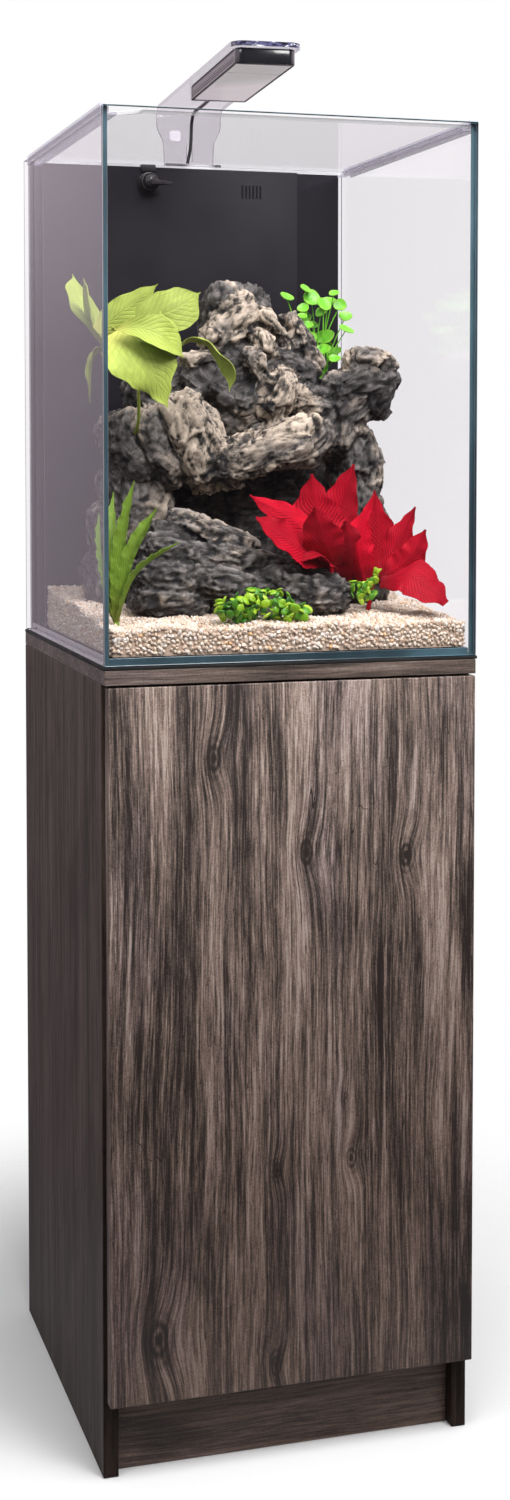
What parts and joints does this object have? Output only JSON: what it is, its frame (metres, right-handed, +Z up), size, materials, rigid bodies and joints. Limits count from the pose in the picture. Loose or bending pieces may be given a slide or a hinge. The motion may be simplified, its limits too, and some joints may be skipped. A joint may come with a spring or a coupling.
{
  "type": "aquarium on stand",
  "caption": "Tall glass fish tank with a built-in rear filter, a clear-arm lamp and a planted rock layout, on a one-door wooden cabinet.",
  "frame": {"origin": "on the floor, at the centre of the object's footprint without the lamp's cord", "axes": "+X to the right seen from the door, +Y to the back, +Z up"},
  "size_m": [0.4032, 0.484, 1.4695],
  "materials": {
    "door_wood": "matte",
    "carcass_wood": "matte",
    "hardboard": "matte",
    "steel": "satin",
    "grey_plastic": "satin",
    "foam": "matte",
    "clear_glass": "polished",
    "black_glass": "polished",
    "clear_plastic": "gloss",
    "black_plastic": "satin",
    "sponge": "matte",
    "ceramic": "matte",
    "lamp_metal": "satin",
    "gloss_black": "gloss",
    "lens": "satin",
    "cord": "satin",
    "gravel": "matte",
    "rock": "matte",
    "lime_leaf": "matte",
    "green_leaf": "satin",
    "red_leaf": "matte"
  },
  "bodies": {
    "stand": {"side_panel_left": "carcass_wood", "side_panel_right": "carcass_wood", "top_panel": "carcass_wood", "bottom_panel": "carcass_wood", "plinth": "carcass_wood", "rear_rail": "carcass_wood", "shelf": "carcass_wood", "back_panel": "hardboard", "shelf_pin_left_front": "steel", "shelf_pin_left_rear": "steel", "shelf_pin_right_front": "steel", "shelf_pin_right_rear": "steel", "hinge_arm_lower": "steel", "hinge_arm_upper": "steel", "latch_body": "grey_plastic", "foam_mat": "foam", "glass_front": "clear_glass", "glass_left": "clear_glass", "glass_right": "clear_glass", "glass_bottom": "clear_glass", "glass_back": "black_glass", "cover_rail_left": "clear_plastic", "cover_rail_right": "clear_plastic", "filter_wall": "black_plastic", "filter_end_wall": "black_plastic", "filter_baffle_left": "black_plastic", "filter_baffle_right": "black_plastic", "pump_housing": "black_plastic", "riser_hose": "black_plastic", "outlet_socket": "black_plastic", "outlet_clip": "black_plastic", "filter_sponge": "sponge", "gravel_bed": "gravel", "rock_arch": "rock", "rock_ledge": "rock", "plant_broadleaf": "lime_leaf", "plant_roundleaf": "green_leaf", "plant_sword": "green_leaf", "plant_carpet": "green_leaf", "plant_red": "red_leaf"},
    "door": {"door": "door_wood", "hinge_cup_lower": "steel", "hinge_cup_upper": "steel"},
    "hinge_links": {"hinge_link_lower": "steel", "hinge_link_upper": "steel"},
    "latch_plunger": {"latch_plunger": "grey_plastic"},
    "cover": {"cover_glass": "clear_glass"},
    "lamp": {"lamp_bracket": "clear_plastic", "rim_clamp": "gloss_black", "lamp_housing": "lamp_metal", "lamp_end_front": "gloss_black", "lamp_end_rear": "gloss_black", "lamp_lens": "lens", "lamp_cord": "cord", "power_plug": "black_plastic"},
    "nozzle_collar": {"nozzle_collar": "black_plastic"},
    "nozzle_spout": {"nozzle_spout": "black_plastic"},
    "media_basket": {"media_basket": "black_plastic", "ceramic_media": "ceramic"},
    "impeller": {"impeller": "grey_plastic"}
  },
  "joints": [
    {"name": "door_hinge", "type": "hinge", "parent": "stand", "child": "door", "pos_m": [0.198, -0.2047, 0.45], "axis": [0, 0, 1], "range_deg": [0, 100]},
    {"name": "hinge_link_turn", "type": "hinge", "parent": "door", "child": "hinge_links", "pos_m": [0.177, -0.2107, 0.45], "axis": [0, 0, 1], "range_deg": [-42, 0]},
    {"name": "latch_press", "type": "slide", "parent": "stand", "child": "latch_plunger", "axis": [0, 1, 0], "range_m": [0, 0.0024], "stiffness_N_per_m": 400},
    {"name": "cover_lift", "type": "slide", "parent": "stand", "child": "cover", "axis": [0, 0, 1], "range_m": [0, 0.045]},
    {"name": "lamp_slide", "type": "slide", "parent": "stand", "child": "lamp", "axis": [1, 0, 0], "range_m": [-0.04, 0.04]},
    {"name": "nozzle_turn", "type": "hinge", "parent": "stand", "child": "nozzle_collar", "pos_m": [-0.07, 0.1125, 1.366], "axis": [0, 1, 0], "range_deg": [-90, 45]},
    {"name": "spout_tilt", "type": "hinge", "parent": "nozzle_collar", "child": "nozzle_spout", "pos_m": [-0.07, 0.1125, 1.366], "axis": [0, 0, 1], "range_deg": [-30, 12]},
    {"name": "basket_lift", "type": "slide", "parent": "stand", "child": "media_basket", "axis": [0, 0, 1], "range_m": [0, 0.17]},
    {"name": "impeller_spin", "type": "hinge", "parent": "stand", "child": "impeller", "pos_m": [-0.102, 0.169, 0.8738], "axis": [1, 0, 0], "continuous": true}
  ],
  "couplings": [
    {"joint": "hinge_link_turn", "follows": "door_hinge", "ratio": -0.397}
  ]
}
